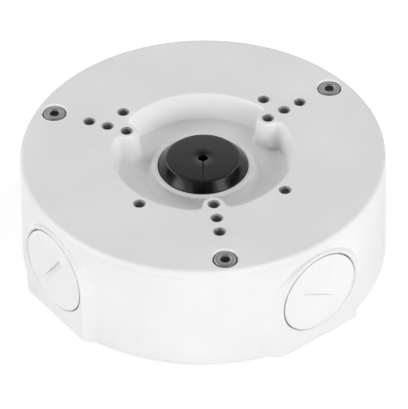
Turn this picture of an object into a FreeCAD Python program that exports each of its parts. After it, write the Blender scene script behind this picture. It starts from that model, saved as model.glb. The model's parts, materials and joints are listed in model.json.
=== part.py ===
import FreeCAD, Part
import math
import os

from FreeCAD import Vector

# Round camera junction box: a die-cast cup that screws to a wall, a die-cast cover that a camera screws to, three
# screwed plugs in the side entries and a rubber grommet for the camera's lead.
# The wall face is at z = 0 and centred on the origin, +Z points out of the wall, and all sizes are in millimetres.

# Outside of the box
total_height = 39.0
top_r = 61.0
foot_spread = 1.0
cover_rim = 2.8
cover_edge_round = 1.25
parting_round = 0.2

# Base casting
rim_wall = 3.1
floor_thick = 3.0
cavity_round = 2.0
back_relief = 0.8
back_rim_width = 6.0
back_hub_r = 20.0
wall_hole_r = 2.6
wall_hole_inset = 15.9
wall_hole_first = 45.0
wall_hole_count = 4
wall_hole_boss_r = 5.5
wall_hole_boss_height = 1.5
rear_entry_r = 12.5
rear_entry_wall = 2.5
rear_entry_dam = 4.0

# Three lines run in from the edge of the cover, each with a cover screw and then three camera holes
line_count = 3
first_line = -30.0
screw_inset = 6.5
outer_hole_gap = 13.0
middle_hole_gap = 6.75
inner_hole_gap = 7.0
square_hole_inset = 0.75
camera_square_count = 4
camera_square_turn = 45.0
tap_drill_r = 1.65
tap_mouth = 0.5
tap_depth = 7.0
tap_end_wall = 1.2
tap_boss_r = 3.4
tap_rib_thick = 3.2

# Recess in the cover, with a boss round each innermost hole
recess_past_hole = 1.25
recess_depth = 9.7
recess_floor = 2.5
recess_wall = 2.5
recess_draft = 7.0
recess_rim_round = 0.9
recess_foot_round = 0.8
recess_boss_r = 3.65
recess_boss_blend = 2.6
pan_round = 2.0
collar_bore_r = 15.2
collar_wall = 2.0
collar_drop = 6.3
collar_round = 0.5
collar_blend = 2.8
grommet_hole_r = 13.0

# Cover screws: M4 socket cap screws, sunk below the face
screw_r = 1.96
screw_length = 12.0
screw_head_r = 3.5
screw_head_height = 4.0
screw_head_chamfer = 0.35
screw_sink = 0.5
socket_across_flats = 3.0
socket_depth = 2.2
socket_chamfer = 0.25
socket_first_turn = 29.0
socket_turn_step = 24.0
counterbore_gap = 0.6
counterbore_mouth = 0.6
screw_pass_gap = 0.3
screw_thread_gap = 0.04
screw_hole_spare = 1.5
lug_wall = 1.2
lug_seat = 1.7
lug_gap = 0.15
ring_wall = 1.1
ring_thick = 1.2
ring_gap = 0.2

# Seal between base and cover, in a rebate that passes inside the screws
seal_width = 1.7
seal_thick = 1.2
seal_gap = 0.05
seal_land = 0.7
pillar_blend = 4.0
spigot_gap = 0.25
spigot_thick = 1.6
spigot_depth = 4.0
spigot_entry_gap = 0.5

# Three side entries with a flat pad outside and a tapped block inside, each with a screwed plug
entry_directions = {"right": 0.0, "front": -90.0, "left": 180.0}
slot_tilts = {"right": -29.0, "front": 54.0, "left": 12.0}
pad_proud = 0.2
pad_border = 1.6
pad_side_slope = 40.0
pad_crown_drop = 0.9
pad_edge_round = 0.6
entry_wall = 2.15
entry_block_end = 1.1
entry_mouth = 0.5
seat_mouth = 0.4
thread_spare = 6.3
thread_gap = 0.05
thread_length = 8.0
thread_start = 0.2
thread_chamfer = 0.8
neck_relief = 0.9
plug_head_lip = 1.15
plug_head_gap = 0.5
plug_head_thick = 2.6
plug_head_ease = 0.6
plug_sink = 0.3
plug_wall = 2.6
plug_web = 4.2
coin_slot_end = 5.85
coin_slot_width = 2.2
coin_slot_depth = 1.5
ring_seal_width = 1.8
ring_seal_thick = 1.4
ring_seal_gap = 0.1

# Rubber grommet for the camera's lead, snapped into the collar
grommet_gap = 0.08
grommet_top_r = 12.4
grommet_top_drop = 3.0
grommet_shoulder_drop = 6.4
grommet_wall = 1.7
grommet_web = 1.8
grommet_edge_round = 0.5
grommet_pinhole_r = 1.4
grommet_slit = 0.25
grommet_slit_turn = -37.0
grommet_bead = 1.3
grommet_bead_height = 2.2

# Sizes and places that follow from the sizes above
foot_r = top_r + foot_spread
cavity_r = top_r - rim_wall
wall_hole_circle_r = cavity_r - wall_hole_inset
screw_circle_r = top_r - screw_inset
camera_outer_r = screw_circle_r - outer_hole_gap
camera_middle_r = camera_outer_r - middle_hole_gap
camera_inner_r = camera_middle_r - inner_hole_gap
camera_square_r = camera_middle_r - square_hole_inset
recess_r = camera_inner_r + recess_past_hole
parting_z = total_height - cover_rim
recess_z = total_height - recess_depth
pan_z = recess_z - recess_floor
pan_r = recess_r + recess_wall
recess_flare = math.tan(math.radians(recess_draft))
recess_rim_r = recess_r + recess_depth * recess_flare
collar_z = total_height - collar_drop
tap_end_z = total_height - tap_depth
tap_boss_z = tap_end_z - tap_end_wall
head_top_z = total_height - screw_sink
head_seat_z = head_top_z - screw_head_height
lug_z = head_seat_z - lug_seat
screw_tip_z = head_seat_z - screw_length
counterbore_r = screw_head_r + counterbore_gap
lug_r = counterbore_r + lug_wall
pocket_r = lug_r + lug_gap
seal_floor_z = parting_z - seal_thick
rebate_width = seal_width + 2 * seal_gap
pillar_r = pocket_r + seal_land + rebate_width
entry_height = total_height / 2
thread_r = entry_height - thread_spare
neck_r = thread_r - neck_relief
plug_head_r = thread_r + plug_head_lip
pad_half = plug_head_r + pad_border
pad_x = foot_r + pad_proud
head_face_x = pad_x - plug_sink
head_under_x = head_face_x - plug_head_thick
entry_seat_x = head_under_x - ring_seal_thick
thread_top_x = entry_seat_x - thread_start
thread_end_x = thread_top_x - thread_length
entry_end_x = thread_end_x - entry_block_end
entry_bore_r = thread_r + thread_gap
entry_seat_r = plug_head_r + plug_head_gap
entry_block_half = entry_bore_r + entry_wall
past = 1.0

UP = Vector(0, 0, 1)
ORIGIN = Vector(0, 0, 0)


def polar(radius, degrees, z=0.0):
    """Point at a radius and a direction round the box's axis."""
    angle = math.radians(degrees)
    return Vector(radius * math.cos(angle), radius * math.sin(angle), z)


def screw_lines():
    """Directions of the lines that carry the cover screws and the camera holes."""
    return [first_line + turn * 360.0 / line_count for turn in range(line_count)]


def outer_r(z):
    """Radius of the drafted outside at a height."""
    return foot_r + (top_r - foot_r) * z / total_height


def unit(vector):
    """The same direction, one millimetre long."""
    return vector * (1.0 / vector.Length)


def post(radius, centre, low, high):
    """Upright cylinder between two heights, on the axis through a point."""
    return Part.makeCylinder(radius, high - low, Vector(centre.x, centre.y, low), UP)


def joined(shape, others):
    """One solid from a shape and the pieces that are cast with it."""
    return shape.fuse(others).removeSplitter()


def rounded_wire(corners):
    """Closed outline in the XZ plane from corners given as x, z and corner radius."""
    points = [Vector(x, 0, z) for x, z, _ in corners]
    edges = []
    ends = []
    for index, (_, _, radius) in enumerate(corners):
        here = points[index]
        back = unit(points[index - 1] - here)
        ahead = unit(points[(index + 1) % len(points)] - here)
        if radius == 0:
            ends.append((here, here))
            continue
        half = back.getAngle(ahead) / 2
        reach = radius / math.tan(half)
        first = here + back * reach
        last = here + ahead * reach
        middle = here + unit(back + ahead) * (radius / math.sin(half) - radius)
        edges.append(Part.Arc(first, middle, last).toShape())
        ends.append((first, last))
    for index, (start, _) in enumerate(ends):
        edges.append(Part.LineSegment(ends[index - 1][1], start).toShape())
    return Part.Wire(Part.sortEdges(edges)[0])


def turned(corners):
    """Solid of revolution about Z from a rounded outline of radius, height and corner radius."""
    return Part.Face(rounded_wire(corners)).revolve(ORIGIN, UP, 360)


def arc_round(centre, start, end):
    """The short arc from start to end about a centre."""
    radius = (start - centre).Length
    middle = centre + unit(unit(start - centre) + unit(end - centre)) * radius
    return Part.Arc(start, middle, end).toShape()


def lobed_wire(radius, lobe_r, lobe_at, blend_r, z, inset=0.0):
    """Circle with a blended lobe reaching in on each screw line, at a height. Inset moves the whole outline inwards."""
    radius = radius - inset
    lobe_r = lobe_r + inset
    blend_r = blend_r - inset
    blend_at = radius - blend_r
    cosine = (blend_at**2 + lobe_at**2 - (lobe_r + blend_r) ** 2) / (2 * blend_at * lobe_at)
    swing = math.degrees(math.acos(cosine))
    pitch = 360.0 / line_count
    edges = []
    for line in screw_lines():
        lobe = polar(lobe_at, line, z)
        before = polar(blend_at, line - swing, z)
        after = polar(blend_at, line + swing, z)
        lobe_start = lobe + unit(before - lobe) * lobe_r
        lobe_end = lobe + unit(after - lobe) * lobe_r
        wall_start = polar(radius, line + swing, z)
        wall_end = polar(radius, line + pitch - swing, z)
        edges.append(arc_round(before, polar(radius, line - swing, z), lobe_start))
        edges.append(Part.Arc(lobe_start, polar(lobe_at - lobe_r, line, z), lobe_end).toShape())
        edges.append(arc_round(after, lobe_end, wall_start))
        edges.append(Part.Arc(wall_start, polar(radius, line + pitch / 2, z), wall_end).toShape())
    return Part.Wire(Part.sortEdges(edges)[0])


def edges_at_height(shape, z, within_r):
    """Edges that lie flat at a height, no further out than a radius."""
    found = []
    for edge in shape.Edges:
        box = edge.BoundBox
        reach = max(abs(box.XMin), abs(box.XMax), abs(box.YMin), abs(box.YMax))
        if abs(box.ZMin - z) < 1e-4 and abs(box.ZMax - z) < 1e-4 and reach < within_r:
            found.append(edge)
    return found


def seal_outline(low, high, inset=0.0):
    """Prism on the inside outline of the base, which passes inside the screw pillars."""
    outline = lobed_wire(cavity_r, pillar_r, screw_circle_r, pillar_blend, low, inset)
    return Part.Face(outline).extrude(Vector(0, 0, high - low))


def arched_wire(half_width, foot_z, x, drop=0.0):
    """Outline with an arch on straight sides down to foot_z, in the plane at x. Drop lowers the arch below the axis."""
    left = Vector(x, -half_width, entry_height - drop)
    right = Vector(x, half_width, entry_height - drop)
    crown = Vector(x, 0, entry_height - drop + half_width)
    left_foot = Vector(x, -half_width, foot_z)
    right_foot = Vector(x, half_width, foot_z)
    return Part.Wire(
        [
            Part.Arc(left, crown, right).toShape(),
            Part.LineSegment(right, right_foot).toShape(),
            Part.LineSegment(right_foot, left_foot).toShape(),
            Part.LineSegment(left_foot, left).toShape(),
        ]
    )


def entry_pad():
    """Flat pad outside the entry on +X, with sloped sides, a steep crown and a rounded edge round its face."""
    root_x = cavity_r - seal_land
    spread = (pad_x - root_x) * math.tan(math.radians(pad_side_slope))
    face = arched_wire(pad_half, 0.0, pad_x)
    root = arched_wire(pad_half + spread, 0.0, root_x, pad_crown_drop * spread)
    pad = Part.makeLoft([root, face], True, True)
    rounded = []
    for edge in pad.Edges:
        box = edge.BoundBox
        if abs(box.XMin - pad_x) < 1e-4 and box.ZMax > 1e-4:
            rounded.append(edge)
    return pad.makeFillet(pad_edge_round, rounded)


def entry_block():
    """Block inside the wall that carries the entry's thread, open to the mould from above."""
    outline = arched_wire(entry_block_half, floor_thick / 2, entry_end_x)
    return Part.Face(outline).extrude(Vector(entry_seat_x - entry_end_x, 0, 0))


def along_entry(shape):
    """Shape turned about Z, with its heights counted from the box's axis, laid on the axis of the entry on +X."""
    shape.rotate(ORIGIN, Vector(0, 1, 0), 90)
    shape.translate(Vector(0, 0, entry_height))
    return shape


def entry_bore():
    """Threaded bore of the entry and the seat for the plug's head, each with an eased mouth."""
    bore = turned(
        [
            (0, entry_end_x - past, 0),
            (entry_bore_r + entry_mouth, entry_end_x - past, 0),
            (entry_bore_r + entry_mouth, entry_end_x, 0),
            (entry_bore_r, entry_end_x + entry_mouth, 0),
            (entry_bore_r, entry_seat_x, 0),
            (entry_seat_r, entry_seat_x, 0),
            (entry_seat_r, pad_x - seat_mouth, 0),
            (entry_seat_r + seat_mouth, pad_x, 0),
            (entry_seat_r + seat_mouth, pad_x + past, 0),
            (0, pad_x + past, 0),
        ]
    )
    return along_entry(bore)


def at_entry(shape, name):
    """Copy of a shape made on +X, turned to the named entry."""
    placed = shape.copy()
    placed.rotate(ORIGIN, UP, entry_directions[name])
    return placed


def wall_holes():
    """Directions of the holes for the wall screws."""
    return [wall_hole_first + turn * 360.0 / wall_hole_count for turn in range(wall_hole_count)]


def base_housing():
    """Cast cup with pads, entry blocks, screw pillars, rear entry and wall-screw holes."""
    parting_corner = (outer_r(parting_z), parting_z, parting_round)
    outside = turned([(0, 0, 0), (foot_r, 0, 0), parting_corner, (0, parting_z, 0)])
    pads = [at_entry(entry_pad(), name) for name in entry_directions]
    below_parting = post(foot_r * 2, ORIGIN, -past, parting_z)
    body = joined(outside, pads).common(below_parting)

    cavity = seal_outline(floor_thick, parting_z + past)
    cavity = cavity.makeFillet(cavity_round, edges_at_height(cavity, floor_thick, foot_r))
    body = body.cut(cavity)

    dam_r = rear_entry_r + rear_entry_wall
    added = [at_entry(entry_block(), name) for name in entry_directions]
    added.append(post(dam_r, ORIGIN, floor_thick / 2, floor_thick + rear_entry_dam))
    for direction in wall_holes():
        centre = polar(wall_hole_circle_r, direction)
        added.append(post(wall_hole_boss_r, centre, floor_thick / 2, floor_thick + wall_hole_boss_height))
    body = joined(body, added)

    removed = [at_entry(entry_bore(), name) for name in entry_directions]
    removed.append(seal_outline(seal_floor_z, parting_z + past, -rebate_width))
    removed.append(post(rear_entry_r, ORIGIN, -past, floor_thick + rear_entry_dam + past))
    removed.append(back_hollow())
    for direction in wall_holes():
        centre = polar(wall_hole_circle_r, direction)
        removed.append(post(wall_hole_r, centre, -past, floor_thick + wall_hole_boss_height + past))
    for line in screw_lines():
        centre = polar(screw_circle_r, line)
        removed.append(post(pocket_r, centre, lug_z, parting_z + past))
        removed.append(post(screw_r + ring_wall + ring_gap, centre, lug_z - ring_thick, lug_z + past))
        removed.append(post(screw_r + screw_thread_gap, centre, screw_tip_z - screw_hole_spare, lug_z + past))
    return body.cut(removed)


def back_hollow():
    """Shallow relief in the wall face, which leaves a rim, a hub and a foot under each wall screw."""
    ring = post(foot_r - back_rim_width, ORIGIN, -past, back_relief)
    kept = [post(back_hub_r, ORIGIN, -past, back_relief + past)]
    for direction in wall_holes():
        kept.append(post(wall_hole_boss_r, polar(wall_hole_circle_r, direction), -past, back_relief + past))
    return ring.cut(kept)


def camera_holes():
    """Centres of the tapped holes for cameras: three on each line, and a square of four."""
    places = []
    for line in screw_lines():
        for radius in (camera_inner_r, camera_middle_r, camera_outer_r):
            places.append(polar(radius, line))
    for turn in range(camera_square_count):
        direction = first_line + camera_square_turn + turn * 360.0 / camera_square_count
        places.append(polar(camera_square_r, direction))
    return places


def tapped_hole(centre):
    """Blind hole at tap-drill size, with a drill point and an eased mouth."""
    mouth_r = tap_drill_r + tap_mouth
    point = tap_drill_r / math.tan(math.radians(59))
    hole = turned(
        [
            (0, tap_end_z - point, 0),
            (tap_drill_r, tap_end_z, 0),
            (tap_drill_r, total_height - tap_mouth, 0),
            (mouth_r, total_height, 0),
            (mouth_r, total_height + past, 0),
            (0, total_height + past, 0),
        ]
    )
    hole.translate(centre)
    return hole


def screw_way(centre):
    """Counterbore for a cover screw's head, with an eased mouth, and the hole for its shank."""
    mouth_r = counterbore_r + counterbore_mouth
    pass_r = screw_r + screw_pass_gap
    way = turned(
        [
            (0, lug_z - past, 0),
            (pass_r, lug_z - past, 0),
            (pass_r, head_seat_z, 0),
            (counterbore_r, head_seat_z, 0),
            (counterbore_r, total_height - counterbore_mouth, 0),
            (mouth_r, total_height, 0),
            (mouth_r, total_height + past, 0),
            (0, total_height + past, 0),
        ]
    )
    way.translate(centre)
    return way


def recess_tool():
    """Drafted space of the recess, standing clear of a boss on each line, with its foot rounded."""
    sections = []
    for z in (recess_z, total_height + past):
        inset = (total_height - z) * recess_flare
        sections.append(lobed_wire(recess_rim_r, recess_boss_r, camera_inner_r, recess_boss_blend, z, inset))
    tool = Part.makeLoft(sections, True, True)
    return tool.makeFillet(recess_foot_round, edges_at_height(tool, recess_z, foot_r))


def collar():
    """Raised collar round the grommet, blended into the recess floor."""
    outer = collar_bore_r + collar_wall
    foot_z = recess_z - recess_floor / 2
    blend_reach = outer + collar_blend
    return turned(
        [
            (collar_bore_r, foot_z, 0),
            (blend_reach + past, foot_z, 0),
            (blend_reach + past, recess_z, 0),
            (outer, recess_z, collar_blend),
            (outer, collar_z, collar_round),
            (collar_bore_r, collar_z, collar_round / 2),
        ]
    )


def cover_spigot():
    """Lip under the cover that holds the seal in place and clears the entry blocks."""
    low = parting_z - spigot_depth
    high = parting_z + cover_rim / 2
    lip = seal_outline(low, high, spigot_gap)
    lip = lip.cut(seal_outline(low - past, high + past, spigot_gap + spigot_thick))
    half = entry_block_half + spigot_entry_gap
    gap = Part.Face(arched_wire(half, 0.0, entry_end_x - past)).extrude(Vector(foot_r, 0, 0))
    return lip.cut([at_entry(gap, name) for name in entry_directions])


def tap_bosses():
    """Bosses and ribs under the cover for the tapped holes outside the recess."""
    inside = parting_z + cover_rim / 2
    shapes = []
    for centre in camera_holes():
        if centre.Length > recess_r:
            shapes.append(post(tap_boss_r, centre, tap_boss_z, inside))
    for line in screw_lines():
        length = camera_outer_r - recess_r
        rib = Part.makeBox(length, tap_rib_thick, inside - tap_boss_z)
        rib.translate(Vector(recess_r, -tap_rib_thick / 2, tap_boss_z))
        rib.rotate(ORIGIN, UP, line)
        shapes.append(rib)
    return shapes


def cover():
    """Cast cover with its recess, collar, camera holes, screw lugs and lip."""
    plate = turned(
        [
            (0, pan_z, 0),
            (pan_r, pan_z, pan_round),
            (pan_r + (parting_z - pan_z) * recess_flare, parting_z, 0),
            (outer_r(parting_z), parting_z, parting_round),
            (top_r, total_height, cover_edge_round),
            (0, total_height, 0),
        ]
    )
    plate = plate.cut(recess_tool())
    rim_edges = edges_at_height(plate, total_height, pan_r)
    plate = plate.makeFillet(recess_rim_round, rim_edges)

    added = [collar(), cover_spigot()]
    added.extend(tap_bosses())
    for line in screw_lines():
        added.append(post(lug_r, polar(screw_circle_r, line), lug_z, parting_z + cover_rim / 2))
    body = joined(plate, added)

    removed = [post(collar_bore_r, ORIGIN, recess_z, total_height)]
    removed.append(post(grommet_hole_r, ORIGIN, pan_z - past, total_height))
    removed.extend(tapped_hole(centre) for centre in camera_holes())
    removed.extend(screw_way(polar(screw_circle_r, line)) for line in screw_lines())
    return body.cut(removed)


def cover_seal():
    """Flat silicone seal in the rebate, squeezed to its working height."""
    outer = seal_outline(seal_floor_z, parting_z, -seal_gap - seal_width)
    inner = seal_outline(seal_floor_z - past, parting_z + past, -seal_gap)
    return outer.cut(inner)


def cable_grommet():
    """Hollow rubber grommet with a bevelled crown, a pinhole and a slit for the lead."""
    top_z = total_height - grommet_top_drop
    shoulder_z = total_height - grommet_shoulder_drop
    body_r = collar_bore_r - grommet_gap
    neck = grommet_hole_r - grommet_gap
    bore = neck - grommet_wall
    bead_r = neck + grommet_bead
    tail_z = pan_z - grommet_bead_height
    crown = turned(
        [
            (grommet_pinhole_r, top_z, 0),
            (grommet_top_r, top_z, grommet_edge_round),
            (body_r, shoulder_z, 0),
            (body_r, recess_z, 0),
            (neck, recess_z, 0),
            (neck, pan_z, 0),
            (bead_r, pan_z, 0),
            (neck, tail_z, 0),
            (bore, tail_z, 0),
            (bore, top_z - 2 * grommet_web, 0),
            (bore - grommet_web, top_z - grommet_web, 0),
            (grommet_pinhole_r, top_z - grommet_web, 0),
        ]
    )
    slit = Part.makeBox(grommet_top_r, grommet_slit, 2 * grommet_web)
    slit.translate(Vector(0, -grommet_slit / 2, top_z - 1.5 * grommet_web))
    slit.rotate(ORIGIN, UP, grommet_slit_turn)
    return crown.cut(slit)


def hexagon_prism(across_flats, low, high):
    """Upright hexagonal prism on the origin's axis."""
    corner_r = across_flats / math.sqrt(3)
    points = [polar(corner_r, 60.0 * turn, low) for turn in range(7)]
    return Part.Face(Part.makePolygon(points)).extrude(Vector(0, 0, high - low))


def cover_screw(line, socket_turn):
    """Socket cap screw that holds the cover down on one line, with its socket left at a direction."""
    socket_r = socket_across_flats / math.sqrt(3)
    head_edge = screw_head_r - screw_head_chamfer
    screw = turned(
        [
            (0, screw_tip_z, 0),
            (screw_r - screw_head_chamfer, screw_tip_z, 0),
            (screw_r, screw_tip_z + screw_head_chamfer, 0),
            (screw_r, head_seat_z, 0),
            (screw_head_r, head_seat_z, 0),
            (screw_head_r, head_top_z - screw_head_chamfer, 0),
            (head_edge, head_top_z, 0),
            (0, head_top_z, 0),
        ]
    )
    socket = hexagon_prism(socket_across_flats, head_top_z - socket_depth, head_top_z + past)
    point = Part.makeCone(
        0.0,
        socket_across_flats / 2,
        socket_across_flats / 4,
        Vector(0, 0, head_top_z - socket_depth - socket_across_flats / 4),
    )
    mouth = Part.makeCone(
        socket_r - socket_chamfer,
        socket_r + socket_chamfer,
        2 * socket_chamfer,
        Vector(0, 0, head_top_z - socket_chamfer),
    )
    screw = screw.cut([socket, point, mouth])
    screw.rotate(ORIGIN, UP, socket_turn)
    screw.translate(polar(screw_circle_r, line))
    return screw


def screw_ring(line):
    """Rubber ring that keeps a loosened screw in the cover."""
    centre = polar(screw_circle_r, line)
    ring = post(screw_r + ring_wall, centre, lug_z - ring_thick, lug_z)
    return ring.cut(post(screw_r, centre, lug_z - ring_thick - past, lug_z + past))


def coin_slot():
    """Segment that a round cutter leaves across the plug's face, along Y and centred on the axis."""
    half = plug_head_r - coin_slot_end
    cutter_r = (half**2 + coin_slot_depth**2) / (2 * coin_slot_depth)
    centre = Vector(-coin_slot_width / 2, 0, head_face_x - coin_slot_depth + cutter_r)
    return Part.makeCylinder(cutter_r, coin_slot_width, centre, Vector(1, 0, 0))


def side_plug(name):
    """Screwed plug with a flat head, a coin slot, a neck for its seal and a hollow threaded shank."""
    core_r = thread_r - plug_wall
    web_x = head_face_x - plug_web
    plug = turned(
        [
            (0, head_face_x, 0),
            (plug_head_r - plug_head_ease, head_face_x, 0),
            (plug_head_r, head_face_x - plug_head_ease, 0),
            (plug_head_r, head_under_x, 0),
            (neck_r, head_under_x, 0),
            (neck_r, thread_top_x, 0),
            (thread_r, thread_top_x, 0),
            (thread_r, thread_end_x + thread_chamfer, 0),
            (thread_r - thread_chamfer, thread_end_x, 0),
            (core_r, thread_end_x, 0),
            (core_r, web_x, 0),
            (0, web_x, 0),
        ]
    )
    plug = along_entry(plug.cut(coin_slot()))
    plug.rotate(Vector(0, 0, entry_height), Vector(1, 0, 0), slot_tilts[name])
    return at_entry(plug, name)


def plug_seal(name):
    """Rubber ring under the plug's head."""
    inner = neck_r + ring_seal_gap
    ring = post(inner + ring_seal_width, ORIGIN, entry_seat_x, head_under_x)
    ring = ring.cut(post(inner, ORIGIN, entry_seat_x - past, head_under_x + past))
    return at_entry(along_entry(ring), name)


def all_parts():
    """Every piece of the box by its name."""
    shapes = {
        "base_housing": base_housing(),
        "cover": cover(),
        "cover_seal": cover_seal(),
        "cable_grommet": cable_grommet(),
    }
    for number, line in enumerate(screw_lines(), 1):
        socket_turn = socket_first_turn + socket_turn_step * number
        shapes[f"cover_screw_{number}"] = cover_screw(line, socket_turn)
        shapes[f"screw_ring_{number}"] = screw_ring(line)
    for name in entry_directions:
        shapes[f"side_plug_{name}"] = side_plug(name)
        shapes[f"plug_seal_{name}"] = plug_seal(name)
    return shapes


os.makedirs("parts", exist_ok=True)
for node, solid in all_parts().items():
    print(node, "valid", solid.isValid(), "solids", len(solid.Solids), "volume", round(solid.Volume, 1))
    solid.exportStep(f"parts/{node}.step")
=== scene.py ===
"""Looks of a round camera junction box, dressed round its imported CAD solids.

Lengths are given in millimetres where they are named and are built in metres, in the CAD part's frame: the
wall face at z = 0, +Z out of the wall, the box's axis on Z.
"""

import json
import logging
import math
from collections.abc import Callable, Iterator
from contextlib import contextmanager
from dataclasses import dataclass, field
from enum import Enum
from typing import Any

import bmesh
import bpy
from mathutils import Matrix, Vector

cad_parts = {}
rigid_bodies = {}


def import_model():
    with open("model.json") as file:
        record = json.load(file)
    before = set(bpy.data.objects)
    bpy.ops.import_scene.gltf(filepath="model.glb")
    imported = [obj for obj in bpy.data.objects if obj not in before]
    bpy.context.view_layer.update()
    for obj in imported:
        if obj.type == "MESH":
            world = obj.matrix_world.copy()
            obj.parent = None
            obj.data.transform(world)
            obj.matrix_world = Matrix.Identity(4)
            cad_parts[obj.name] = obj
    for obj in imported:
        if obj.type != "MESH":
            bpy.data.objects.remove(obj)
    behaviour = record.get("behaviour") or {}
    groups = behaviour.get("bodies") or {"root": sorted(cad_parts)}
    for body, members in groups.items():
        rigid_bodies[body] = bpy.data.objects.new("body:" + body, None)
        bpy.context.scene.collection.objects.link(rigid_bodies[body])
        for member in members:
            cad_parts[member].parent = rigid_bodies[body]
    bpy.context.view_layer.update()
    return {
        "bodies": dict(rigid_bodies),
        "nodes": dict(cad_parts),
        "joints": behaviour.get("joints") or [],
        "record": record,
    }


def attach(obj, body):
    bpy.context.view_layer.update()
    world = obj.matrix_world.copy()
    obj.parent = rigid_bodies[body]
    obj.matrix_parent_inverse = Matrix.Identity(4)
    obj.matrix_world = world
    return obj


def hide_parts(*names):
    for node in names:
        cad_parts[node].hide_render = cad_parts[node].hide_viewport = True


LOG = logging.getLogger("junction_box")
MM = 0.001
Test = Callable[[Vector], bool]
Links = dict[str | int, bpy.types.NodeSocket]

# Lengths closer than this are the same, in millimetres
SLACK = 0.01
# Vertices closer than this are welded, in metres
WELD = 1e-6
FINE_WELD = 1e-7
# How many faces round an eased edge, and the sharpest edge that is shaded smooth, in degrees
EASE_STEPS = 4
SMOOTH_ANGLE = 35.0
# The part of a noise's range that holds nearly all of it
NOISE_LOW, NOISE_HIGH = 0.3, 0.7
# Places of a colour Mix node's sockets, because its names repeat
MIX_SHARE, MIX_FIRST, MIX_SECOND, MIX_RESULT = 0, 6, 7, 2


class Slot(Enum):
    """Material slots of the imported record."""

    CASTING = "coated_casting"
    PLUG = "coated_plug"
    RUBBER = "black_rubber"
    STEEL = "stainless_steel"


class Entry(Enum):
    """Side entries by name, with the direction each one faces in degrees round the box's axis."""

    RIGHT = 0.0
    FRONT = -90.0
    LEFT = 180.0

    @property
    def word(self) -> str:
        """The entry's name as the CAD nodes and bodies spell it."""
        return self.name.lower()


class Kind(Enum):
    """Kinds of mesh element that can be picked in edit mode."""

    VERTEX = "VERT"
    EDGE = "EDGE"
    FACE = "FACE"


@dataclass(frozen=True)
class Corner:
    """A corner of a turned outline: its radius, its height and its edge's rounding, in millimetres."""

    radius: float
    height: float
    ease: float = 0.0


def linear(colour: str) -> tuple[float, float, float, float]:
    """Turns an sRGB hex colour into the linear colour that a shader takes, by the standard's curve.

    Args:
        colour: Six hex digits with a leading hash.

    Returns:
        Red, green, blue and alpha, linear.
    """
    shares = [int(colour[place : place + 2], 16) / 255 for place in (1, 3, 5)]
    red, green, blue = (
        share / 12.92 if share <= 0.04045 else ((share + 0.055) / 1.055) ** 2.4 for share in shares
    )
    return red, green, blue, 1.0


def add_node(
    tree: bpy.types.NodeTree,
    kind: str,
    settings: dict[str | int, Any] | None = None,
    links: Links | None = None,
) -> bpy.types.Node:
    """Adds a node with its settings and links.

    Args:
        tree: The tree that takes the node.
        kind: The node's type.
        settings: Values by input or property name.
        links: Sockets to join to its inputs.

    Returns:
        The new node.
    """
    node = tree.nodes.new(kind)
    for name, value in (settings or {}).items():
        if isinstance(name, int) or name in node.inputs:
            node.inputs[name].default_value = value
        else:
            setattr(node, name, value)
    for name, socket in (links or {}).items():
        tree.links.new(socket, node.inputs[name])
    return node


def bare_material(name: str) -> bpy.types.Material:
    """Makes a material whose node tree is empty.

    Args:
        name: The material's name.

    Returns:
        The new material.
    """
    made = bpy.data.materials.new(name)
    made.use_nodes = True
    made.node_tree.nodes.clear()
    return made


def ring_point(radius: float, degrees: float, height: float) -> Vector:
    """Point at a radius, direction and height, given in millimetres, returned in metres."""
    angle = math.radians(degrees)
    return Vector((radius * math.cos(angle), radius * math.sin(angle), height)) * MM


def outlook(direction: float, elevation: float, distance: float) -> Vector:
    """Point in metres, seen from the origin in a direction, at an elevation and at a distance in metres."""
    level = math.radians(elevation)
    return ring_point(math.cos(level), direction, math.sin(level)) * (distance / MM)


def reach(place: Vector) -> float:
    """Distance of a point from the Z axis, in millimetres."""
    return math.hypot(place.x, place.y) / MM


def near(value: float, wanted: float) -> bool:
    """Whether two lengths in millimetres are the same within the slack."""
    return abs(value - wanted) < SLACK


def clear_selection() -> None:
    """Leaves edit mode and selects nothing, so that the next operator acts on its own piece alone."""
    if bpy.context.object is not None and bpy.context.object.mode != "OBJECT":
        bpy.ops.object.mode_set(mode="OBJECT")
    bpy.ops.object.select_all(action="DESELECT")


def focus(piece: bpy.types.Object) -> None:
    """Makes a piece the only selected object and the active one.

    Args:
        piece: The piece that the next operator acts on.
    """
    clear_selection()
    piece.select_set(True)
    bpy.context.view_layer.objects.active = piece


@contextmanager
def editing(piece: bpy.types.Object) -> Iterator[None]:
    """Opens a piece in edit mode with vertices to pick, and leaves edit mode again at the end.

    Args:
        piece: The piece to edit.

    Yields:
        Nothing, while the piece is in edit mode.
    """
    focus(piece)
    bpy.ops.object.mode_set(mode="EDIT")
    bpy.ops.mesh.select_mode(type="VERT")
    try:
        yield
    finally:
        bpy.ops.object.mode_set(mode="OBJECT")


def pick(piece: bpy.types.Object, kind: Kind, test: Test) -> None:
    """Selects, in edit mode, the elements whose vertices all pass a test of their place.

    Args:
        piece: The piece in edit mode.
        kind: What to select.
        test: Takes a vertex's place in metres.
    """
    bpy.ops.mesh.select_mode(type=kind.value)
    bpy.ops.mesh.select_all(action="DESELECT")
    shape = bmesh.from_edit_mesh(piece.data)
    elements = {Kind.VERTEX: shape.verts, Kind.EDGE: shape.edges, Kind.FACE: shape.faces}[kind]
    for element in elements:
        corners = [element] if kind is Kind.VERTEX else element.verts
        if all(test(vertex.co) for vertex in corners):
            element.select_set(True)
    bmesh.update_edit_mesh(piece.data)


def draw_in(x_share: float, y_share: float, z_share: float, height: float = 0.0) -> None:
    """Scales what is selected in edit mode about the Z axis, from a height in metres."""
    bpy.ops.transform.resize(value=(x_share, y_share, z_share), center_override=(0, 0, height))


def settle(piece: bpy.types.Object) -> None:
    """Puts a piece's place, turn and size into its mesh, so that its object sits at the origin."""
    focus(piece)
    bpy.ops.object.transform_apply(location=True, rotation=True, scale=True)


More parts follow.
